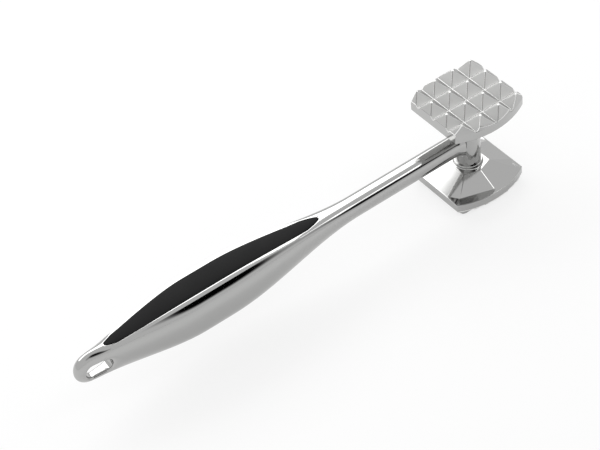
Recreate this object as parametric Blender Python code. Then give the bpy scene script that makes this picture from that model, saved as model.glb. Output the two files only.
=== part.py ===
import math

import bmesh
import bpy
from mathutils import Matrix, Vector

# Whole object. X runs along the handle toward the head, Z is the striking axis.
OVERALL_LENGTH = 0.2385
CLEARANCE = 0.0003

# Striking plates: straight ends across X, bowed flanks across Y.
PLATE_LENGTH = 0.0406
PLATE_END_WIDTH = 0.0320
PLATE_FULL_WIDTH = 0.0424
RIM_HEIGHT = 0.0042
FLANK_LEAN_SHARE = 0.32
COARSE_TOOTH_PITCH = 0.0108
COARSE_TEETH_PER_SIDE = 4
FINE_TEETH_PER_SIDE = 6
COARSE_TOOTH_HEIGHT = 0.0050
FINE_TOOTH_HEIGHT = 0.0026
ARC_STEPS = 12

# Back of a plate: a nearly flat land inside the rim, then flat facets up to the collar.
LAND_AT_END = 0.0008
LAND_AT_CORNER = 0.0037
LAND_AT_FLANK = 0.0020
LAND_RISE = 0.0006
FACET_END_WIDTH = 0.0180
FACET_CORNER_WIDTH = 0.0270
FACET_TOP_LENGTH = 0.0158
FACET_TOP_WIDTH = 0.0132

# Heights measured from the middle of the shank to the foot of the teeth.
COARSE_FOOT_HEIGHT = 0.0237
FINE_FOOT_HEIGHT = 0.0248

# Collar on the back of a plate, and the post that it sits on.
POST_DIAMETER = 0.0125
POST_REACH = 0.0124
COLLAR_DIAMETER = 0.0140
COLLAR_HEIGHT = 0.0012
COLLAR_FILLET = 0.0016
FILLET_STEPS = 3
POST_STEPS = 32

# Threaded stud through the post, hidden in both plates.
STUD_DIAMETER = 0.0058
STUD_BITE = 0.0062

# Shank and grip, measured from the post toward the tail.
SHANK_WIDTH = 0.0094
SHANK_HEIGHT = 0.0096
ROOT_FLARE_LENGTH = 0.0032
ROOT_FLARE_SIZE = 0.0012
SWELL_START_FROM_END = 0.1502
SWELL_END_FROM_END = 0.0752
BELLY_END_FROM_END = 0.0612
TAPER_END_FROM_END = 0.0072
GRIP_WIDTH = 0.0236
GRIP_HEIGHT = 0.0258
GRIP_DROP = 0.0004
TAIL_WIDTH = 0.0068
TAIL_HEIGHT = 0.0160
TAIL_DROP = 0.0010
NOSE_LENGTH = 0.0098
NOSE_DROP = 0.0008
GRIP_SQUARENESS = 2.8
TAIL_SQUARENESS = 2.3
RING_POINTS = 40
GRIP_RINGS = 46
NOSE_RINGS = 8
ROOT_RINGS = 5
TAPER_SLOPE = 0.55
NOSE_HEIGHT_POWER = 2.4
NOSE_WIDTH_POWER = 4
NOSE_END_SHARE = 0.995

# Hanging hole through the tail, from side to side.
HOLE_LENGTH = 0.0126
HOLE_HEIGHT = 0.0076
HOLE_FROM_END = 0.0109
HOLE_DROP = 0.0026
HOLE_LIP = 0.0020
HOLE_STEPS = 12
LIP_STEPS = 3

# Soft inlay let into the top of the grip.
INLAY_FRONT_FROM_END = 0.1297
INLAY_REAR_FROM_END = 0.0170
INLAY_WIDTH = 0.0130
INLAY_DEPTH = 0.0022
INLAY_CROWN = 0.0003
INLAY_POINT_WIDTH = 0.0018
INLAY_STEPS = 36
INLAY_LANES = 8
INLAY_WIDEST_SHARE = 0.52
INLAY_FRONT_FULLNESS = 2.6
INLAY_REAR_FULLNESS = 2.7
INLAY_BLUNTNESS = 0.72

# One overrun for every cut.
OVERRUN = 0.0040
SHARP_ANGLE_SHARE = 1 / 6

FINE_TOOTH_PITCH = PLATE_LENGTH / FINE_TEETH_PER_SIDE
POST_X = OVERALL_LENGTH / 2 - PLATE_LENGTH / 2
AXIS_Z = FINE_FOOT_HEIGHT + FINE_TOOTH_HEIGHT
TAIL_REACH = POST_X + OVERALL_LENGTH / 2
SWELL_START = TAIL_REACH - SWELL_START_FROM_END
SWELL_END = TAIL_REACH - SWELL_END_FROM_END
BELLY_END = TAIL_REACH - BELLY_END_FROM_END
TAPER_END = TAIL_REACH - TAPER_END_FROM_END
INLAY_FRONT = TAIL_REACH - INLAY_FRONT_FROM_END
INLAY_REAR = TAIL_REACH - INLAY_REAR_FROM_END


def clear_scene():
    for item in list(bpy.data.objects):
        bpy.data.objects.remove(item, do_unlink=True)


def new_collection(name):
    group = bpy.data.collections.new(name)
    bpy.context.scene.collection.children.link(group)
    return group


def material(name, colour, roughness, metallic):
    made = bpy.data.materials.new(name)
    made.use_nodes = True
    shader = made.node_tree.nodes["Principled BSDF"]
    shader.inputs["Base Color"].default_value = (*colour, 1.0)
    shader.inputs["Roughness"].default_value = roughness
    shader.inputs["Metallic"].default_value = metallic
    return made


def object_from(bm, name, group):
    bmesh.ops.recalc_face_normals(bm, faces=bm.faces)
    mesh = bpy.data.meshes.new(name)
    bm.to_mesh(mesh)
    bm.free()
    made = bpy.data.objects.new(name, mesh)
    group.objects.link(made)
    return made


def skin_rings(rings, name, group):
    # closed body through a row of rings with equal numbers of points
    bm = bmesh.new()
    previous = None
    for ring in rings:
        current = [bm.verts.new(point) for point in ring]
        if previous is None:
            bm.faces.new(current)
        else:
            for step in range(len(current)):
                after = (step + 1) % len(current)
                bm.faces.new((previous[step], previous[after], current[after], current[step]))
        previous = current
    bm.faces.new(previous)
    bmesh.ops.triangulate(bm, faces=bm.faces)
    return object_from(bm, name, group)


def as_cutter(made):
    made.hide_render = True
    made.display_type = "WIRE"
    return made


def boolean(target, tool, operation):
    step = target.modifiers.new(operation.lower(), "BOOLEAN")
    step.operation = operation
    step.solver = "EXACT"
    step.object = tool


def soften(made):
    mesh = made.data
    mesh.shade_smooth()
    mesh.set_sharp_from_angle(angle=math.pi * SHARP_ANGLE_SHARE)


# Handle shape

def ease(start, end, share):
    share = min(max(share, 0.0), 1.0)
    return start + (end - start) * share * share * (3 - 2 * share)


def taper(start, end, share):
    # cubic that leaves level and arrives with a slope, so the tail runs nearly straight
    share = min(max(share, 0.0), 1.0)
    drop = end - start
    level = share * share * (3 - 2 * share)
    slope = share * share * (share - 1)
    return start + drop * (level + TAPER_SLOPE * slope)


def nose_rounding(reach):
    # shares of the full height and width that are left on the way round the nose
    share = (reach - TAIL_REACH + NOSE_LENGTH) / NOSE_LENGTH
    share = min(max(share, 0.0), NOSE_END_SHARE)
    return math.sqrt(1 - share ** NOSE_HEIGHT_POWER), math.sqrt(1 - share ** NOSE_WIDTH_POWER)


def handle_section(reach):
    # half width, half height, squareness and drop of the middle, at a distance from the post
    swell_share = (reach - SWELL_START) / (SWELL_END - SWELL_START)
    taper_share = (reach - BELLY_END) / (TAPER_END - BELLY_END)
    drop = ease(0.0, GRIP_DROP, swell_share) + ease(0.0, TAIL_DROP - GRIP_DROP, taper_share)
    square = ease(GRIP_SQUARENESS, TAIL_SQUARENESS, taper_share)
    if reach <= SWELL_END:
        width = ease(SHANK_WIDTH, GRIP_WIDTH, swell_share)
        height = ease(SHANK_HEIGHT, GRIP_HEIGHT, swell_share)
        root = 1 - (reach - POST_DIAMETER / 2) / ROOT_FLARE_LENGTH
        flare = ROOT_FLARE_SIZE * min(max(root, 0.0), 1.0) ** 2
        width += 2 * flare
        height += 2 * flare
    else:
        height_left, width_left = nose_rounding(reach)
        drop += NOSE_DROP * (1 - height_left)
        width = taper(GRIP_WIDTH, TAIL_WIDTH, taper_share) * width_left
        height = taper(GRIP_HEIGHT, TAIL_HEIGHT, taper_share) * height_left
    return width / 2, height / 2, square, drop


def handle_ring(reach):
    half_width, half_height, square, drop = handle_section(reach)
    ring = []
    for step in range(RING_POINTS):
        angle = 2 * math.pi * step / RING_POINTS
        across = math.copysign(abs(math.cos(angle)) ** (2 / square), math.cos(angle))
        up = math.copysign(abs(math.sin(angle)) ** (2 / square), math.sin(angle))
        z = AXIS_Z - drop + half_height * up
        ring.append(Vector((POST_X - reach, half_width * across, z)))
    return ring


def handle_stations():
    # distances from the post at which the handle has a ring, the first one inside the post
    stations = [POST_DIAMETER / 2 - ROOT_FLARE_SIZE]
    for step in range(1, ROOT_RINGS + 1):
        stations.append(POST_DIAMETER / 2 + ROOT_FLARE_LENGTH * step / ROOT_RINGS)
    nose_start = TAIL_REACH - NOSE_LENGTH
    for step in range(GRIP_RINGS + 1):
        stations.append(SWELL_START + (nose_start - SWELL_START) * step / GRIP_RINGS)
    for step in range(1, NOSE_RINGS + 1):
        stations.append(nose_start + NOSE_LENGTH * math.sin(math.pi / 2 * step / NOSE_RINGS))
    return stations


def inlay_half_width(share):
    # leaf outline with round points, widest at its own share of the length
    if share < INLAY_WIDEST_SHARE:
        run = (1 - share / INLAY_WIDEST_SHARE) ** INLAY_FRONT_FULLNESS
    else:
        run = (share - INLAY_WIDEST_SHARE) / (1 - INLAY_WIDEST_SHARE)
        run = run ** INLAY_REAR_FULLNESS
    leaf = max(1 - run, 0.0) ** INLAY_BLUNTNESS
    return (INLAY_POINT_WIDTH + (INLAY_WIDTH - INLAY_POINT_WIDTH) * leaf) / 2


def top_height(reach, across):
    # height of the bare grip's upper surface above the shank's middle
    half_width, half_height, square, drop = handle_section(reach)
    share = min(abs(across) / half_width, 1.0)
    return half_height * (1 - share ** square) ** (1 / square) - drop


def side_width(reach, up):
    # half width of the handle at a height above the shank's middle
    half_width, half_height, square, drop = handle_section(reach)
    share = min(abs(up + drop) / half_height, 1.0)
    return half_width * (1 - share ** square) ** (1 / square)


def inlay_body(name, group, spread, rise, depth):
    # strip that follows the top of the grip, a rise above it and a depth below it
    rings = []
    length = INLAY_REAR - INLAY_FRONT + 2 * spread
    for step in range(INLAY_STEPS + 1):
        share = (1 - math.cos(math.pi * step / INLAY_STEPS)) / 2
        reach = INLAY_FRONT - spread + length * share
        half = inlay_half_width(share) + spread
        lanes = [half * (2 * lane / INLAY_LANES - 1) for lane in range(INLAY_LANES + 1)]
        ring = [Vector((-reach, y, top_height(reach, y) + rise)) for y in lanes]
        ring += [Vector((-reach, y, top_height(reach, y) - depth)) for y in lanes[::-1]]
        rings.append([point + Vector((POST_X, 0.0, AXIS_Z)) for point in ring])
    return skin_rings(rings, name, group)


def cylinder(name, group, diameter, low, high, x):
    bm = bmesh.new()
    bmesh.ops.create_cone(
        bm,
        cap_ends=True,
        segments=POST_STEPS,
        radius1=diameter / 2,
        radius2=diameter / 2,
        depth=high - low,
        matrix=Matrix.Translation((x, 0.0, (low + high) / 2)),
    )
    return object_from(bm, name, group)


def hole_outline():
    # middle and outward direction of each point round the slot
    outline = []
    shift = (HOLE_LENGTH - HOLE_HEIGHT) / 2
    for end in (1, -1):
        for step in range(HOLE_STEPS + 1):
            angle = math.pi * (step / HOLE_STEPS - 0.5)
            away = Vector((end * math.cos(angle), end * math.sin(angle)))
            outline.append((Vector((end * shift, 0.0)), away))
    return outline


def hole_cutter(name, group):
    # slot through the tail with a round lip that follows the skin on both sides
    middle = TAIL_REACH - HOLE_FROM_END
    lips = [step / LIP_STEPS for step in range(LIP_STEPS + 1)]
    levels = [(-1, share) for share in lips[::-1]] + [(1, share) for share in lips]
    levels = [(-1, None)] + levels + [(1, None)]
    rings = []
    for side, share in levels:
        angle = math.pi / 2 * (1.0 if share is None else share)
        radius = HOLE_HEIGHT / 2 + HOLE_LIP * (1 - math.cos(angle))
        ring = []
        for centre, away in hole_outline():
            flat = centre + away * radius
            skin = side_width(middle - flat.x, flat.y - HOLE_DROP)
            across = max(skin - HOLE_LIP * (1 - math.sin(angle)), CLEARANCE)
            if share is None:
                across = skin + OVERRUN
            x = POST_X - middle + flat.x
            ring.append(Vector((x, side * across, AXIS_Z + flat.y - HOLE_DROP)))
        rings.append(ring)
    return skin_rings(rings, name, group)


def build_handle(parts, cutters):
    rings = [handle_ring(reach) for reach in handle_stations()]
    handle = skin_rings(rings, "handle_casting", parts)
    low = AXIS_Z - POST_REACH
    high = AXIS_Z + POST_REACH
    post = as_cutter(cylinder("post_form", cutters, POST_DIAMETER, low, high, POST_X))
    bore = STUD_DIAMETER + 2 * CLEARANCE
    past = POST_REACH + OVERRUN
    bore_form = as_cutter(
        cylinder("post_bore_form", cutters, bore, AXIS_Z - past, AXIS_Z + past, POST_X)
    )
    pocket = as_cutter(inlay_body("pocket_form", cutters, CLEARANCE, INLAY_DEPTH, INLAY_DEPTH))
    hole = as_cutter(hole_cutter("hanging_hole_form", cutters))
    boolean(handle, post, "UNION")
    boolean(handle, bore_form, "DIFFERENCE")
    boolean(handle, pocket, "DIFFERENCE")
    boolean(handle, hole, "DIFFERENCE")
    return handle


def build_inlay(parts):
    return inlay_body("grip_inlay", parts, 0.0, INLAY_CROWN, INLAY_DEPTH - CLEARANCE)


# Striking plates

def plate_outline(lean):
    # straight ends and bowed flanks, counter-clockwise; lean moves only the flanks inward
    half_length = PLATE_LENGTH / 2
    half_end = PLATE_END_WIDTH / 2 - lean
    bow = (PLATE_FULL_WIDTH - PLATE_END_WIDTH) / 2
    radius = (half_length ** 2 + bow ** 2) / (2 * bow)
    half_angle = math.asin(half_length / radius)
    points = []
    for side in (1, -1):
        points.append(Vector((side * half_length, 0.0)))
        for step in range(ARC_STEPS + 1):
            angle = half_angle * (1 - 2 * step / ARC_STEPS)
            x = radius * math.sin(angle)
            y = half_end + bow - radius * (1 - math.cos(angle))
            points.append(Vector((side * x, side * y)))
    return points


def facet_ring(length, end_width, corner_length, corner_width, middle_width, end_z, z):
    # six- or eight-sided ring with a point for every point of the plate's outline
    points = []
    for side in (1, -1):
        points.append(Vector((side * length / 2, 0.0, end_z)))
        points.append(Vector((side * length / 2, side * end_width / 2, end_z)))
        for step in range(1, ARC_STEPS):
            share = 1 - 2 * (step - 1) / (ARC_STEPS - 2)
            width = middle_width + (corner_width - middle_width) * abs(share)
            points.append(Vector((side * corner_length * share / 2, side * width / 2, z)))
        points.append(Vector((-side * length / 2, side * end_width / 2, end_z)))
    return points


def facet_rings(rim_back, facet_top):
    # foot and top of the facets; the top's middle width keeps the long facets flat
    foot_length = PLATE_LENGTH - 2 * LAND_AT_END
    corner_length = PLATE_LENGTH - 2 * LAND_AT_CORNER
    middle_width = PLATE_FULL_WIDTH - 2 * LAND_AT_FLANK
    slope = (middle_width - FACET_CORNER_WIDTH) / corner_length
    top_middle = FACET_TOP_WIDTH + slope * FACET_TOP_LENGTH
    end_z = rim_back - LAND_RISE / 2
    foot = facet_ring(
        foot_length, FACET_END_WIDTH, corner_length, FACET_CORNER_WIDTH,
        middle_width, end_z, rim_back - LAND_RISE,
    )
    top = facet_ring(
        FACET_TOP_LENGTH, FACET_TOP_WIDTH - FACET_TOP_WIDTH / ARC_STEPS, FACET_TOP_LENGTH,
        FACET_TOP_WIDTH, top_middle, facet_top, facet_top,
    )
    return foot, top


def plate_blank(name, group, tooth_height, foot_height):
    # turned up the right way for the upper plate, Z measured from the shank's middle
    rim_back = foot_height - RIM_HEIGHT
    facet_top = POST_REACH + CLEARANCE + COLLAR_HEIGHT + COLLAR_FILLET / 2
    levels = [
        (plate_outline(FLANK_LEAN_SHARE * tooth_height), foot_height + tooth_height),
        (plate_outline(0.0), foot_height),
        (plate_outline(0.0), rim_back),
    ]
    rings = [[Vector((point.x, point.y, z)) for point in flat] for flat, z in levels]
    rings += facet_rings(rim_back, facet_top)
    return skin_rings(rings, name, group)


def collar_form(name, group, foot_height):
    # round collar with a hollow fillet that runs into the facets
    face = POST_REACH + CLEARANCE
    root = face + COLLAR_HEIGHT
    profile = [(COLLAR_DIAMETER / 2, face), (COLLAR_DIAMETER / 2, root)]
    for step in range(1, FILLET_STEPS + 1):
        angle = math.pi / 3 * step / FILLET_STEPS
        radius = COLLAR_DIAMETER / 2 + COLLAR_FILLET * (1 - math.cos(angle))
        profile.append((radius, root + COLLAR_FILLET * math.sin(angle)))
    profile.append((profile[-1][0], foot_height - RIM_HEIGHT))
    rings = []
    for radius, z in profile:
        turns = [2 * math.pi * step / POST_STEPS for step in range(POST_STEPS)]
        rings.append([Vector((radius * math.cos(t), radius * math.sin(t), z)) for t in turns])
    return skin_rings(rings, name, group)


def tooth_comb(name, group, count, pitch, foot_height):
    # slab whose upper face is a square field of pyramids with flanks at half a right angle,
    # one row wider than the plate all round
    bm = bmesh.new()
    rows = count + 2
    bmesh.ops.create_grid(bm, x_segments=rows, y_segments=rows, size=rows * pitch / 2)
    poked = bmesh.ops.poke(bm, faces=bm.faces[:])
    bmesh.ops.translate(bm, verts=poked["verts"], vec=(0.0, 0.0, pitch / 2))
    rim = [edge for edge in bm.edges if edge.is_boundary]
    grown = bmesh.ops.extrude_edge_only(bm, edges=rim)
    low = [item for item in grown["geom"] if isinstance(item, bmesh.types.BMVert)]
    bmesh.ops.translate(bm, verts=low, vec=(0.0, 0.0, -foot_height))
    bmesh.ops.holes_fill(bm, edges=[edge for edge in bm.edges if edge.is_boundary])
    bmesh.ops.translate(bm, verts=bm.verts, vec=(0.0, 0.0, foot_height))
    return object_from(bm, name, group)


def place_on_axis(made, turned):
    # the lower plate is the upper way up, turned over about the handle's axis
    turn = Matrix.Rotation(math.pi, 4, "X") if turned else Matrix.Identity(4)
    made.data.transform(Matrix.Translation((POST_X, 0.0, AXIS_Z)) @ turn)


def build_plate(parts, cutters, name, teeth, tooth_height, foot_height, turned):
    count, pitch = teeth
    plate = plate_blank(name, parts, tooth_height, foot_height)
    collar = as_cutter(collar_form(name + "_collar_form", cutters, foot_height))
    comb = as_cutter(tooth_comb(name + "_tooth_form", cutters, count, pitch, foot_height))
    bore = STUD_DIAMETER + 2 * CLEARANCE
    deep = POST_REACH + STUD_BITE + CLEARANCE
    socket = as_cutter(cylinder(name + "_socket_form", cutters, bore, 0.0, deep, 0.0))
    for made in (plate, collar, comb, socket):
        place_on_axis(made, turned)
    boolean(plate, collar, "UNION")
    boolean(plate, comb, "INTERSECT")
    boolean(plate, socket, "DIFFERENCE")
    return plate


def build_stud(parts):
    reach = POST_REACH + STUD_BITE
    return cylinder("head_stud", parts, STUD_DIAMETER, AXIS_Z - reach, AXIS_Z + reach, POST_X)


def main():
    clear_scene()
    parts = new_collection("meat_mallet")
    cutters = new_collection("cutters")
    chrome = material("bright_chrome", (0.80, 0.80, 0.79), 0.12, 1.0)
    plate_chrome = material("satin_chrome", (0.72, 0.72, 0.71), 0.28, 1.0)
    soft_black = material("soft_black", (0.012, 0.012, 0.013), 0.62, 0.0)
    steel = material("plain_steel", (0.55, 0.55, 0.56), 0.35, 1.0)
    handle = build_handle(parts, cutters)
    handle.data.materials.append(chrome)
    inlay = build_inlay(parts)
    inlay.data.materials.append(soft_black)
    coarse = build_plate(
        parts, cutters, "coarse_plate", (COARSE_TEETH_PER_SIDE, COARSE_TOOTH_PITCH),
        COARSE_TOOTH_HEIGHT, COARSE_FOOT_HEIGHT, False,
    )
    fine = build_plate(
        parts, cutters, "fine_plate", (FINE_TEETH_PER_SIDE, FINE_TOOTH_PITCH),
        FINE_TOOTH_HEIGHT, FINE_FOOT_HEIGHT, True,
    )
    for plate in (coarse, fine):
        plate.data.materials.append(plate_chrome)
    stud = build_stud(parts)
    stud.data.materials.append(steel)
    for made in (handle, inlay, stud):
        soften(made)


main()
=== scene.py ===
import math

import bmesh
import bpy
from mathutils import Matrix, Vector


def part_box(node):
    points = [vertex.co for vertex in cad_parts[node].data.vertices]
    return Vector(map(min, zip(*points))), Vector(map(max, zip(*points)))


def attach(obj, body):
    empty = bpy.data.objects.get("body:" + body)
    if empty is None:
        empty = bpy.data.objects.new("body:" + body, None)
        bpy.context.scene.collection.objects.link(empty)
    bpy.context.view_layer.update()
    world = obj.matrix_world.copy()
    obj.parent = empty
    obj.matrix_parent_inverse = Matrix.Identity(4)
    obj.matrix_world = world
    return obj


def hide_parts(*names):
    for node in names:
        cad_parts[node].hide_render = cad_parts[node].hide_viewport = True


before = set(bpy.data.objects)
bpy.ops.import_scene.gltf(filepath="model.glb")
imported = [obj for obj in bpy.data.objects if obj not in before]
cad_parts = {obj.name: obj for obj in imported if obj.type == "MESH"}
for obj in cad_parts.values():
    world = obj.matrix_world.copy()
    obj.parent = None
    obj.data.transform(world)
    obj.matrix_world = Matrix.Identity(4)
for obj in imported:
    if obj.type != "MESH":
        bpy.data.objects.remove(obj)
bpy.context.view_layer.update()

# Places taken from the frame, in metres
mm = 0.001
handleLow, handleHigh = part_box("handle_casting")
studLow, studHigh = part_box("head_stud")
coarseLow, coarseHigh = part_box("coarse_plate")
fineLow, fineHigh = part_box("fine_plate")
inlayLow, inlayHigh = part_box("grip_inlay")
postX = (studLow.x + studHigh.x) / 2
axisZ = (studLow.z + studHigh.z) / 2
tailReach = postX - handleLow.x
postHalf = handleHigh.x - postX
postReach = (handleHigh.z - handleLow.z) / 2
print("frame read: post at", round(postX, 4), "axis at", round(axisZ, 4))


# General helpers

def meshPiece(bm, name, mat, sharpAngle):
    bmesh.ops.recalc_face_normals(bm, faces=bm.faces)
    mesh = bpy.data.meshes.new(name)
    bm.to_mesh(mesh)
    bm.free()
    mesh.shade_smooth()
    mesh.set_sharp_from_angle(angle=math.radians(sharpAngle))
    mesh.materials.append(mat)
    piece = bpy.data.objects.new(name, mesh)
    bpy.context.scene.collection.objects.link(piece)
    return piece


def closeRings(rings):
    # closed body through rings with equal numbers of points
    bm = bmesh.new()
    before = None
    for ring in rings:
        now = [bm.verts.new(point) for point in ring]
        if before is None:
            bm.faces.new(now)
        else:
            for step in range(len(now)):
                after = (step + 1) % len(now)
                bm.faces.new((before[step], before[after], now[after], now[step]))
        before = now
    bm.faces.new(before)
    bmesh.ops.recalc_face_normals(bm, faces=bm.faces)
    return bm


def toolObject(bm, name):
    mesh = bpy.data.meshes.new(name)
    bm.to_mesh(mesh)
    bm.free()
    tool = bpy.data.objects.new(name, mesh)
    bpy.context.scene.collection.objects.link(tool)
    return tool


def carved(bm, steps):
    # joins and cuts applied one after the other, and their tools removed again
    body = toolObject(bm, "carvedForm")
    for tool, operation in steps:
        step = body.modifiers.new(operation.lower(), "BOOLEAN")
        step.operation = operation
        step.solver = "EXACT"
        step.object = tool
    graph = bpy.context.evaluated_depsgraph_get()
    result = bmesh.new()
    result.from_object(body, graph)
    for item in [body] + [tool for tool, operation in steps]:
        bpy.data.objects.remove(item, do_unlink=True)
    return result


def ease(start, end, share):
    share = min(max(share, 0.0), 1.0)
    return start + (end - start) * share * share * (3 - 2 * share)


# Materials

metals = {
    # colour, roughness, spread of the roughness, strength of the ripple
    "brightChrome": ((0.46, 0.46, 0.455), 0.08, 0.06, 0.15),
    # the next two are copies of the tooth chrome: darker for faces turned along X (painted
    # shade), lighter for faces turned along Y (painted light)
    "shadedToothChrome": ((0.36, 0.36, 0.355), 0.46, 0.12, 0.2),
    "litToothChrome": ((0.74, 0.74, 0.73), 0.5, 0.12, 0.2),
    # near-white copy of the chrome for the small edge faces on the teeth: a painted highlight
    "highlightEdgeChrome": ((0.9, 0.9, 0.89), 0.3, 0.08, 0.1),
    "plainSteel": ((0.45, 0.45, 0.46), 0.35, 0.10, 0.3),
}
wear = {
    "patchScale": 55,
    "lineScale": 260,
    "lineStretch": (1.0, 9.0, 9.0),
    "lineShare": 0.35,
    "middle": 0.675,
    "rippleScale": 90,
    "rippleDepth": 0.05 * mm,
}
softCover = {
    "colour": (0.0095, 0.0095, 0.0098),
    "roughness": (0.52, 0.70),
    "shine": 0.12,
    "patchScale": 70,
    "grainScale": 2600,
    "grainStrength": 0.35,
    "grainDepth": 0.04 * mm,
}
evenly = (1.0, 1.0, 1.0)


def newMaterial(name, colour, metallic, roughness):
    mat = bpy.data.materials.new(name)
    mat.use_nodes = True
    shader = mat.node_tree.nodes["Principled BSDF"]
    shader.inputs["Base Color"].default_value = (*colour, 1.0)
    shader.inputs["Metallic"].default_value = metallic
    shader.inputs["Roughness"].default_value = roughness
    return mat, mat.node_tree, shader


def addNode(tree, kind, **settings):
    node = tree.nodes.new(kind)
    for key, value in settings.items():
        setattr(node, key, value)
    return node


def noiseInto(tree, coordinates, scale, detail, stretch):
    place = addNode(tree, "ShaderNodeMapping")
    place.inputs["Scale"].default_value = stretch
    tree.links.new(coordinates, place.inputs["Vector"])
    noise = addNode(tree, "ShaderNodeTexNoise")
    noise.inputs["Scale"].default_value = scale
    noise.inputs["Detail"].default_value = detail
    tree.links.new(place.outputs["Vector"], noise.inputs["Vector"])
    return noise.outputs["Fac"]


def ranged(tree, value, low, high):
    scaled = addNode(tree, "ShaderNodeMapRange")
    scaled.inputs["To Min"].default_value = low
    scaled.inputs["To Max"].default_value = high
    tree.links.new(value, scaled.inputs["Value"])
    return scaled.outputs["Result"]


def wearGroup():
    # handling marks on plated metal: soft patches and fine polishing lines
    group = bpy.data.node_groups.new("platingWear", "ShaderNodeTree")
    group.interface.new_socket("Roughness", in_out="INPUT", socket_type="NodeSocketFloat")
    group.interface.new_socket("Spread", in_out="INPUT", socket_type="NodeSocketFloat")
    group.interface.new_socket("Roughness", in_out="OUTPUT", socket_type="NodeSocketFloat")
    group.interface.new_socket("Height", in_out="OUTPUT", socket_type="NodeSocketFloat")
    incoming = addNode(group, "NodeGroupInput")
    outgoing = addNode(group, "NodeGroupOutput")
    place = addNode(group, "ShaderNodeTexCoord").outputs["Object"]
    patches = noiseInto(group, place, wear["patchScale"], 3, evenly)
    lines = noiseInto(group, place, wear["lineScale"], 2, wear["lineStretch"])
    ripple = noiseInto(group, place, wear["rippleScale"], 1, evenly)
    mixed = addNode(group, "ShaderNodeMath", operation="MULTIPLY_ADD")
    group.links.new(lines, mixed.inputs[0])
    mixed.inputs[1].default_value = wear["lineShare"]
    group.links.new(patches, mixed.inputs[2])
    centred = addNode(group, "ShaderNodeMath", operation="SUBTRACT")
    group.links.new(mixed.outputs[0], centred.inputs[0])
    centred.inputs[1].default_value = wear["middle"]
    spread = addNode(group, "ShaderNodeMath", operation="MULTIPLY_ADD")
    group.links.new(centred.outputs[0], spread.inputs[0])
    group.links.new(incoming.outputs["Spread"], spread.inputs[1])
    group.links.new(incoming.outputs["Roughness"], spread.inputs[2])
    group.links.new(spread.outputs[0], outgoing.inputs["Roughness"])
    group.links.new(ripple, outgoing.inputs["Height"])
    return group


def platedMetal(name):
    colour, roughness, spread, ripple = metals[name]
    mat, tree, shader = newMaterial(name, colour, 1.0, roughness)
    marks = addNode(tree, "ShaderNodeGroup", node_tree=wearNodes)
    marks.inputs["Roughness"].default_value = roughness
    marks.inputs["Spread"].default_value = spread
    tree.links.new(marks.outputs["Roughness"], shader.inputs["Roughness"])
    addRelief(tree, shader, marks.outputs["Height"], ripple, wear["rippleDepth"])
    return mat


def addRelief(tree, shader, height, strength, depth):
    relief = addNode(tree, "ShaderNodeBump")
    relief.inputs["Strength"].default_value = strength
    relief.inputs["Distance"].default_value = depth
    tree.links.new(height, relief.inputs["Height"])
    tree.links.new(relief.outputs["Normal"], shader.inputs["Normal"])


def softBlack():
    # dark moulding with a fine grain and slightly shinier patches
    dull, duller = softCover["roughness"]
    mat, tree, shader = newMaterial("softBlack", softCover["colour"], 0.0, dull)
    shader.inputs["Specular IOR Level"].default_value = softCover["shine"]
    place = addNode(tree, "ShaderNodeTexCoord").outputs["Object"]
    grain = noiseInto(tree, place, softCover["grainScale"], 2, evenly)
    patches = noiseInto(tree, place, softCover["patchScale"], 3, evenly)
    tree.links.new(ranged(tree, patches, dull, duller), shader.inputs["Roughness"])
    addRelief(tree, shader, grain, softCover["grainStrength"], softCover["grainDepth"])
    return mat


wearNodes = wearGroup()
brightChrome = platedMetal("brightChrome")
# copies of the chrome carrying painted shade, painted light and painted highlights for the
# teeth
shadedToothChrome = platedMetal("shadedToothChrome")
litToothChrome = platedMetal("litToothChrome")
highlightEdgeChrome = platedMetal("highlightEdgeChrome")
plainSteel = platedMetal("plainSteel")
inlayBlack = softBlack()


# Handle: square shank, round grip, flat tail, all one casting with the post

handle = {
    "shank": (9.4 * mm, 9.6 * mm, 2.8),
    "grip": (23.6 * mm, 25.8 * mm, 2.8),
    "tail": (6.8 * mm, 16.0 * mm, 2.3),
    "swellFromEnd": (150.2 * mm, 75.2 * mm),
    "taperFromEnd": (61.2 * mm, 7.2 * mm),
    "taperSlope": 0.55,
    "gripDrop": 0.4 * mm,
    "tailDrop": 1.0 * mm,
    "noseDrop": 0.8 * mm,
    "nose": 9.8 * mm,
    "nosePowers": (2.4, 4),
    "flare": (3.2 * mm, 1.2 * mm),
    "creaseShares": (0.60, 0.71),
    "creaseRun": 40 * mm,
    "ledgeFlatness": 0.85,
    "ledgeStart": (70 * mm, 35 * mm),
    "ledgeEndFromEnd": (23 * mm, 15 * mm),
    "ledgeSteps": 5,
    "skinPoints": 96,
    "rootShare": 0.9,
    "rootRings": 8,
    "shankRings": 59,
    "pocketRings": 210,
    "pocketCrowding": 0.6,
    "tailRings": 15,
    "noseRings": 24,
    "tipGap": 0.002 * mm,
    "boreGap": 0.3 * mm,
    "boreReach": 30 * mm,
    "postSides": 96,
    "boreSides": 48,
    "sharpAngle": 32,
}
inlay = {
    "startFromEnd": 129.7 * mm,
    "endFromEnd": 17.0 * mm,
    "width": 12.2 * mm,
    "point": 1.4 * mm,
    "widest": 0.60,
    "frontPower": 4.2,
    "rearPower": 2.85,
    "bluntness": 0.76,
    "lip": 0.25 * mm,
    "groove": 0.22 * mm,
    "depth": 2.2 * mm,
    "crown": 0.6 * mm,
    "edgeFall": 0.25 * mm,
    "clearance": 0.3 * mm,
    "leastHalf": 0.2 * mm,
    "widestShare": 0.5,
    "wallShare": 0.5,
    "lipSteps": 4,
    "lanes": 14,
    "rings": 160,
    "sharpAngle": 40,
}
swellStart, swellEnd = [tailReach - back for back in handle["swellFromEnd"]]
bellyEnd, taperEnd = [tailReach - back for back in handle["taperFromEnd"]]
inlayStart = tailReach - inlay["startFromEnd"] - inlay["groove"]
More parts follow.
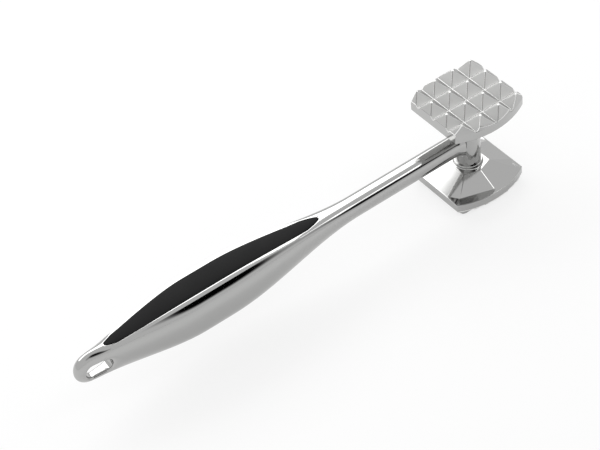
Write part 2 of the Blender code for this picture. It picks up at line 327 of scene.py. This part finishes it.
inlayEnd = tailReach - inlay["endFromEnd"] + inlay["groove"]


def taper(start, end, share):
    # leaves level and arrives with a slope, so the tail runs nearly straight
    share = min(max(share, 0.0), 1.0)
    level = share * share * (3 - 2 * share)
    slope = share * share * (share - 1)
    return start + (end - start) * (level + handle["taperSlope"] * slope)


def handleSection(reach):
    # half width, half height, squareness and drop of the middle
    shank = handle["shank"]
    grip = handle["grip"]
    tail = handle["tail"]
    swellShare = (reach - swellStart) / (swellEnd - swellStart)
    taperShare = (reach - bellyEnd) / (taperEnd - bellyEnd)
    drop = ease(0.0, handle["gripDrop"], swellShare)
    drop += ease(0.0, handle["tailDrop"] - handle["gripDrop"], taperShare)
    square = ease(grip[2], tail[2], taperShare)
    if reach <= swellEnd:
        width = ease(shank[0], grip[0], swellShare)
        height = ease(shank[1], grip[1], swellShare)
        flareLength, flareSize = handle["flare"]
        root = min(max(1 - (reach - postHalf) / flareLength, 0.0), 1.0)
        width += 2 * flareSize * root * root
        height += 2 * flareSize * root * root
    else:
        noseShare = (reach - tailReach + handle["nose"]) / handle["nose"]
        noseShare = min(max(noseShare, 0.0), 1.0)
        tallPower, widePower = handle["nosePowers"]
        tallLeft = math.sqrt(1 - noseShare ** tallPower)
        wideLeft = math.sqrt(1 - noseShare ** widePower)
        drop += handle["noseDrop"] * (1 - tallLeft)
        width = taper(grip[0], tail[0], taperShare) * wideLeft
        height = taper(grip[1], tail[1], taperShare) * tallLeft
    return width / 2, height / 2, square, drop


def inlayHalf(reach):
    # half width of the pocket's leaf outline, its blunt points included
    share = (reach - inlayStart) / (inlayEnd - inlayStart)
    share = min(max(share, 0.0), 1.0)
    if share < inlay["widest"]:
        run = (1 - share / inlay["widest"]) ** inlay["frontPower"]
    else:
        run = ((share - inlay["widest"]) / (1 - inlay["widest"])) ** inlay["rearPower"]
    leaf = (1 - run) ** inlay["bluntness"]
    return (inlay["point"] + (inlay["width"] - inlay["point"]) * leaf) / 2


def creaseAt(reach, half):
    # distance from the middle plane to the line where the top turns into the side
    low, high = handle["creaseShares"]
    return half * ease(low, high, (reach - swellStart) / handle["creaseRun"])


def ledgeFlatness(reach):
    start, run = handle["ledgeStart"]
    back, fade = handle["ledgeEndFromEnd"]
    rising = ease(0.0, handle["ledgeFlatness"], (reach - start) / run)
    return rising * (1 - ease(0.0, 1.0, (reach - tailReach + back) / fade))


def topHeight(reach, across):
    # the upper surface, flattened between the two creases
    half, tall, square, drop = handleSection(reach)
    crease = creaseAt(reach, half)
    height, level = [
        tall * (1 - min(abs(spot) / half, 1.0) ** square) ** (1 / square)
        for spot in (across, crease)
    ]
    if abs(across) < crease:
        height = level + (1 - ledgeFlatness(reach)) * (height - level)
    return height - drop


def sideWidth(reach, up):
    half, tall, square, drop = handleSection(reach)
    share = min(abs(up + drop) / tall, 1.0)
    return half * (1 - share ** square) ** (1 / square)


def place(reach, across, up):
    return Vector((postX - reach, across, axisZ + up))


def pocketProfile(reach, half, opening):
    # from the +Y edge of the pocket to its -Y edge: lip, wall, floor, wall, lip
    lip = inlay["lip"] * opening
    deep = inlay["depth"] * opening
    right = []
    for step in range(inlay["lipSteps"] + 1):
        turn = math.pi / 2 * step / inlay["lipSteps"]
        across = half + lip * (1 - math.sin(turn))
        right.append((across, topHeight(reach, across) - lip * (1 - math.cos(turn))))
    right.append((half, topHeight(reach, half) - max(deep * inlay["wallShare"], lip)))
    right.append((half, topHeight(reach, half) - max(deep, lip)))
    floor = []
    lanes = inlay["lanes"]
    for lane in range(1, lanes):
        across = half * (1 - 2 * lane / lanes)
        floor.append((across, topHeight(reach, across) - deep))
    left = [(-across, up) for across, up in reversed(right)]
    return right + floor + left


def handleRing(reach):
    # pocket, ledge, side and underside, side, ledge, in turn from the +Y edge of the pocket
    half, tall, square, drop = handleSection(reach)
    opening = 1.0 if inlayStart <= reach <= inlayEnd else 0.0
    edge = min(inlayHalf(reach), half * inlay["widestShare"])
    crease = creaseAt(reach, half)
    outer = edge + inlay["lip"] * opening
    steps = handle["ledgeSteps"]
    ledge = [outer + (crease - outer) * step / steps for step in range(1, steps + 1)]
    points = pocketProfile(reach, edge, opening)
    points += [(-across, topHeight(reach, across)) for across in ledge]
    start = math.acos((crease / half) ** (square / 2))
    count = handle["skinPoints"]
    for step in range(1, count):
        angle = math.pi - start + (math.pi + 2 * start) * step / count
        cosine = math.cos(angle)
        sine = math.sin(angle)
        across = math.copysign(half * abs(cosine) ** (2 / square), cosine)
        up = math.copysign(tall * abs(sine) ** (2 / square), sine) - drop
        points.append((across, up))
    points += [(across, topHeight(reach, across)) for across in reversed(ledge)]
    return [place(reach, across, up) for across, up in points]


def handleStations():
    # distances from the post, closest together at the root, the pocket's ends and the nose
    stations = [postHalf * handle["rootShare"]]
    count = handle["rootRings"]
    for step in range(1, count + 1):
        stations.append(postHalf + handle["flare"][0] * step / count)
    front = stations[-1]
    margin = inlay["lip"]
    count = handle["shankRings"]
    for step in range(1, count + 1):
        stations.append(front + (inlayStart - margin - front) * step / count)
    count = handle["pocketRings"]
    crowding = handle["pocketCrowding"]
    for step in range(count + 1):
        share = (1 - math.cos(math.pi * step / count)) / 2
        share = share * crowding + step / count * (1 - crowding)
        stations.append(inlayStart + (inlayEnd - inlayStart) * share)
    noseStart = tailReach - handle["nose"]
    count = handle["tailRings"]
    for step in range(count + 1):
        stations.append(inlayEnd + margin + (noseStart - inlayEnd - margin) * step / count)
    count = handle["noseRings"]
    for step in range(1, count):
        stations.append(noseStart + handle["nose"] * math.sin(math.pi / 2 * step / count))
    stations.append(tailReach - handle["tipGap"])
    return stations


hole = {
    "length": 12.6 * mm,
    "height": 7.6 * mm,
    "fromEnd": 10.9 * mm,
    "drop": 2.6 * mm,
    "lip": 1.6 * mm,
    "frontLip": 2.4 * mm,
    "leastDepth": 0.1 * mm,
    "arcSteps": 28,
    "lipSteps": 8,
    "overrun": 2.0,
}


def holeTool():
    # slot with a rounded lip that follows the skin on both sides, longest towards the grip
    middle = tailReach - hole["fromEnd"]
    outline = []
    for end in (1, -1):
        for step in range(hole["arcSteps"] + 1):
            turn = math.pi * (step / hole["arcSteps"] - 0.5)
            direction = Vector((end * math.cos(turn), end * math.sin(turn)))
            centre = Vector((end * (hole["length"] - hole["height"]) / 2, 0.0))
            outline.append((centre, direction))
    rings = []
    lip = hole["lip"]
    levels = []
    count = hole["lipSteps"]
    for side in (-1, 1):
        arc = [(side, step / count) for step in range(count + 1)]
        levels += list(reversed(arc)) if side < 0 else arc
    levels.insert(0, (-1, hole["overrun"]))
    levels.append((1, hole["overrun"]))
    for side, level in levels:
        ring = []
        turn = math.pi / 2 * min(level, 1.0)
        opened = 1 - math.cos(turn)
        for centre, direction in outline:
            grow = (lip + hole["frontLip"] * max(direction.x, 0.0) ** 2) * opened
            flat = centre + direction * (hole["height"] / 2 + grow)
            skin = sideWidth(middle - flat.x, flat.y - hole["drop"])
            across = max(skin - lip + lip * math.sin(turn), hole["leastDepth"])
            if level > 1:
                across = skin + hole["overrun"] * lip
            ring.append(place(middle - flat.x, side * across, flat.y - hole["drop"]))
        rings.append(ring)
    return toolObject(closeRings(rings), "holeForm")


def roundTool(name, diameter, low, high, steps):
    bm = bmesh.new()
    bmesh.ops.create_cone(
        bm,
        cap_ends=True,
        segments=steps,
        radius1=diameter / 2,
        radius2=diameter / 2,
        depth=high - low,
        matrix=Matrix.Translation((postX, 0.0, (low + high) / 2)),
    )
    return toolObject(bm, name)


def buildHandle():
    bm = closeRings([handleRing(reach) for reach in handleStations()])
    bmesh.ops.triangulate(bm, faces=bm.faces)
    bore = studHigh.x - studLow.x + 2 * handle["boreGap"]
    low = axisZ - handle["boreReach"]
    high = axisZ + handle["boreReach"]
    sides = handle["postSides"]
    post = roundTool("postForm", 2 * postHalf, axisZ - postReach, axisZ + postReach, sides)
    boreTool = roundTool("boreForm", bore, low, high, handle["boreSides"])
    steps = [(post, "UNION"), (boreTool, "DIFFERENCE"), (holeTool(), "DIFFERENCE")]
    result = carved(bm, steps)
    piece = meshPiece(result, "chrome_handle", brightChrome, handle["sharpAngle"])
    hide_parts("handle_casting")
    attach(piece, "root")
    return piece


def buildInlay():
    # crowned soft strip set a little way inside the pocket
    rings = []
    steps = inlay["rings"]
    lanes = inlay["lanes"]
    start = inlayStart + inlay["groove"]
    end = inlayEnd - inlay["groove"]
    for step in range(steps + 1):
        share = (1 - math.cos(math.pi * step / steps)) / 2
        reach = start + (end - start) * share
        half = max(inlayHalf(reach) - inlay["groove"], inlay["leastHalf"])
        top = []
        for lane in range(lanes + 1):
            across = half * (1 - 2 * lane / lanes)
            edge = min(half - abs(across), inlay["lip"]) / inlay["lip"]
            rise = inlay["crown"] * (1 - (across / half) ** 2) * half / (inlay["width"] / 2)
            rise -= inlay["edgeFall"] * (1 - edge) ** 2
            top.append(place(reach, across, topHeight(reach, across) + rise))
        low = []
        for lane in range(lanes + 1):
            across = half * (2 * lane / lanes - 1)
            up = topHeight(reach, across) - inlay["depth"] + inlay["clearance"]
            low.append(place(reach, across, up))
        rings.append(top + low)
    piece = meshPiece(closeRings(rings), "soft_inlay", inlayBlack, inlay["sharpAngle"])
    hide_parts("grip_inlay")
    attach(piece, "root")
    return piece


chromeHandle = buildHandle()
print("handle made:", len(chromeHandle.data.polygons), "faces")
softInlay = buildInlay()
print("inlay made:", len(softInlay.data.polygons), "faces")


# Striking plates: the frame's plates with every edge eased, and painted light, painted shade
# and painted highlights on their teeth

plates = {
    "edge": 0.26 * mm,
    "segments": 2,
    "angle": 9.0,
    "weld": 0.001 * mm,
    "flatAngle": 1.0,
    "sharpAngle": 50,
    "toothDepth": {"coarse_plate": 4.6 * mm, "fine_plate": 3.1 * mm},
    "toothSlope": 0.7071,
    "slopeMargin": 0.02,
    "smallFace": 1.2 * mm * mm,
}


def paintToothLightAndShade(piece, node):
    # tooth faces turned mostly along X get a darker copy of the chrome (painted shade), those
    # turned along Y a lighter copy (painted light), and small edge faces a near-white copy
    # (painted highlight)
    for paintedCopy in (shadedToothChrome, litToothChrome, highlightEdgeChrome):
        piece.data.materials.append(paintedCopy)
    tips = max(abs(vertex.co.z - axisZ) for vertex in piece.data.vertices)
    foot = tips - plates["toothDepth"][node]
    for face in piece.data.polygons:
        away = face.center.z - axisZ
        if face.normal.z * away <= 0 or abs(away) < foot:
            continue
        sloped = abs(abs(face.normal.z) - plates["toothSlope"]) < plates["slopeMargin"]
        if face.area < plates["smallFace"]:
            # small faces on the teeth get the near-white copy: a painted highlight
            face.material_index = 3
        elif sloped and face.area > plates["smallFace"]:
            # darker copy for faces turned along X (painted shade), lighter copy for faces
            # turned along Y (painted light)
            face.material_index = 1 if abs(face.normal.x) > abs(face.normal.y) else 2


def easedPlate(node, name):
    bm = bmesh.new()
    bm.from_mesh(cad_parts[node].data)
    flat = math.radians(plates["flatAngle"])
    bmesh.ops.remove_doubles(bm, verts=bm.verts, dist=plates["weld"])
    bmesh.ops.dissolve_limit(bm, angle_limit=flat, verts=bm.verts, edges=bm.edges)
    sharp = [
        edge for edge in bm.edges
        if len(edge.link_faces) == 2 and edge.calc_face_angle(0) > math.radians(plates["angle"])
    ]
    bmesh.ops.bevel(
        bm,
        geom=sharp,
        affect="EDGES",
        offset=plates["edge"],
        offset_type="OFFSET",
        segments=plates["segments"],
        profile=0.5,
        material=-1,
        clamp_overlap=False,
    )
    piece = meshPiece(bm, name, brightChrome, plates["sharpAngle"])
    paintToothLightAndShade(piece, node)
    weights = piece.modifiers.new("flatFaces", "WEIGHTED_NORMAL")
    weights.weight = 100
    weights.keep_sharp = True
    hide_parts(node)
    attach(piece, "root")
    return piece


for node, name in (("coarse_plate", "coarse_head"), ("fine_plate", "fine_head")):
    plate = easedPlate(node, name)
    print(name, "made:", len(plate.data.polygons), "faces")

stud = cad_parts["head_stud"]
stud.data.materials.clear()
stud.data.materials.append(plainSteel)


# Stage: floor, world, lamps and a dark card

stage = {
    "floorSize": 3.0,
    "floorGrey": 0.9,
    "white": 1.0,
    "shadowShare": 0.25,
    "mirrorShare": 0.35,
    "sky": 0.85,
    "aim": (0.0, 0.0, 0.03),
    # size in metres, bearing and height in degrees, distance, radiance
    "backLamp": ((1.9, 0.5), (86, 43, 1.1), 2.5),
    "rightLamp": ((0.22, 0.24), (-30, 54, 0.9), 2.4),
    # size, bearing, height and distance, where the fade starts, grey at the edge
    "darkCard": ((1.15, 1.05), (-74, 38, 1.0), 0.5, 0.85),
}


def flatCard(name, size, centre, facing, mat):
    bm = bmesh.new()
    bmesh.ops.create_grid(bm, x_segments=1, y_segments=1, size=0.5)
    bmesh.ops.scale(bm, verts=bm.verts, vec=(size[0], size[1], 1.0))
    mesh = bpy.data.meshes.new(name)
    bm.to_mesh(mesh)
    bm.free()
    mesh.materials.append(mat)
    card = bpy.data.objects.new(name, mesh)
    bpy.context.scene.collection.objects.link(card)
    card.location = centre
    card.rotation_euler = (Vector(facing) - Vector(centre)).to_track_quat("Z", "Y").to_euler()
    return card


def backgroundWhite():
    # white to the eye, with a part of the lit floor kept for the shadow and more in reflections
    mat, tree, shader = newMaterial("paleFloor", [stage["floorGrey"]] * 3, 0.0, 0.9)
    shader.inputs["Specular IOR Level"].default_value = 0.0
    path = addNode(tree, "ShaderNodeLightPath")
    mirrored = addNode(tree, "ShaderNodeMath", operation="MULTIPLY")
    tree.links.new(path.outputs["Is Glossy Ray"], mirrored.inputs[0])
    mirrored.inputs[1].default_value = stage["mirrorShare"]
    share = addNode(tree, "ShaderNodeMath", operation="MULTIPLY_ADD")
    tree.links.new(path.outputs["Is Camera Ray"], share.inputs[0])
    share.inputs[1].default_value = 1 - stage["shadowShare"]
    tree.links.new(mirrored.outputs[0], share.inputs[2])
    glow = addNode(tree, "ShaderNodeEmission")
    glow.inputs["Color"].default_value = (1.0, 1.0, 1.0, 1.0)
    glow.inputs["Strength"].default_value = stage["white"]
    mixed = addNode(tree, "ShaderNodeMixShader")
    tree.links.new(share.outputs[0], mixed.inputs[0])
    tree.links.new(shader.outputs[0], mixed.inputs[1])
    tree.links.new(glow.outputs[0], mixed.inputs[2])
    output = tree.nodes["Material Output"]
    tree.links.new(mixed.outputs[0], output.inputs["Surface"])
    return mat


floorSize = stage["floorSize"]
flatCard("floor", (floorSize, floorSize), (0, 0, 0), (0, 0, 1), backgroundWhite())

world = bpy.data.worlds.new("paleRoom")
bpy.context.scene.world = world
world.use_nodes = True
sky = world.node_tree.nodes["Background"]
sky.inputs["Color"].default_value = (stage["sky"], stage["sky"], stage["sky"], 1.0)
sky.inputs["Strength"].default_value = 1.0


def towards(azimuth, elevation, distance):
    # a place at a bearing from the object's middle, in degrees and metres
    turn = math.radians(azimuth)
    lift = math.radians(elevation)
    level = distance * math.cos(lift)
    return (level * math.cos(turn), level * math.sin(turn), distance * math.sin(lift))


def softLamp(name):
    # a rectangle that looks equally bright from every side of its front
    size, bearing, radiance = stage[name]
    data = bpy.data.lights.new(name, "AREA")
    data.shape = "RECTANGLE"
    data.size, data.size_y = size
    data.energy = radiance * math.pi * size[0] * size[1]
    lamp = bpy.data.objects.new(name, data)
    bpy.context.scene.collection.objects.link(lamp)
    lamp.location = towards(*bearing)
    facing = Vector(stage["aim"]) - lamp.location
    lamp.rotation_euler = facing.to_track_quat("-Z", "Y").to_euler()


def darkCardMaterial(size, core, rim):
    # black in the middle, fading to the room's own grey at the edge
    mat, tree, shader = newMaterial("darkCard", (0.0, 0.0, 0.0), 0.0, 1.0)
    shader.inputs["Specular IOR Level"].default_value = 0.0
    place = addNode(tree, "ShaderNodeTexCoord").outputs["Object"]
    scaled = addNode(tree, "ShaderNodeVectorMath", operation="MULTIPLY")
    tree.links.new(place, scaled.inputs[0])
    scaled.inputs[1].default_value = (2 / size[0], 2 / size[1], 0.0)
    away = addNode(tree, "ShaderNodeVectorMath", operation="LENGTH")
    tree.links.new(scaled.outputs["Vector"], away.inputs[0])
    fade = addNode(tree, "ShaderNodeMapRange", interpolation_type="SMOOTHSTEP")
    tree.links.new(away.outputs["Value"], fade.inputs["Value"])
    fade.inputs["From Min"].default_value = core
    fade.inputs["From Max"].default_value = 1.0
    fade.inputs["To Max"].default_value = rim
    shader.inputs["Emission Color"].default_value = (1.0, 1.0, 1.0, 1.0)
    tree.links.new(fade.outputs["Result"], shader.inputs["Emission Strength"])
    return mat


softLamp("backLamp")
softLamp("rightLamp")
cardSize, cardBearing, cardCore, cardRim = stage["darkCard"]
darkMaterial = darkCardMaterial(cardSize, cardCore, cardRim)
flatCard("darkCard", cardSize, towards(*cardBearing), stage["aim"], darkMaterial)


# Camera at the photograph's angle

camera = {
    "azimuth": -30.24,
    "elevation": 45.82,
    "roll": -8.14,
    "lens": 90.0,
    "back": 712.0 * mm,
    "right": -79.49 * mm,
    "up": -41.47 * mm,
}


def placeCamera():
    azimuth = math.radians(camera["azimuth"])
    elevation = math.radians(camera["elevation"])
    roll = math.radians(camera["roll"])
    back = Vector((
        math.sin(azimuth) * math.cos(elevation),
        -math.cos(azimuth) * math.cos(elevation),
        math.sin(elevation),
    ))
    level = Vector((math.cos(azimuth), math.sin(azimuth), 0.0))
    upright = back.cross(level)
    right = level * math.cos(roll) + upright * math.sin(roll)
    up = upright * math.cos(roll) - level * math.sin(roll)
    centre = Vector((postX, 0.0, axisZ))
    spot = centre + back * camera["back"] + right * camera["right"] + up * camera["up"]
    data = bpy.data.cameras.new("photoCamera")
    data.lens = camera["lens"]
    data.sensor_fit = "HORIZONTAL"
    data.sensor_width = 36.0
    data.clip_start = 0.01
    made = bpy.data.objects.new("photoCamera", data)
    bpy.context.scene.collection.objects.link(made)
    turn = Matrix((right, up, back)).transposed().to_4x4()
    made.matrix_world = Matrix.Translation(spot) @ turn
    bpy.context.scene.camera = made


placeCamera()
bpy.context.scene.view_settings.view_transform = "Standard"
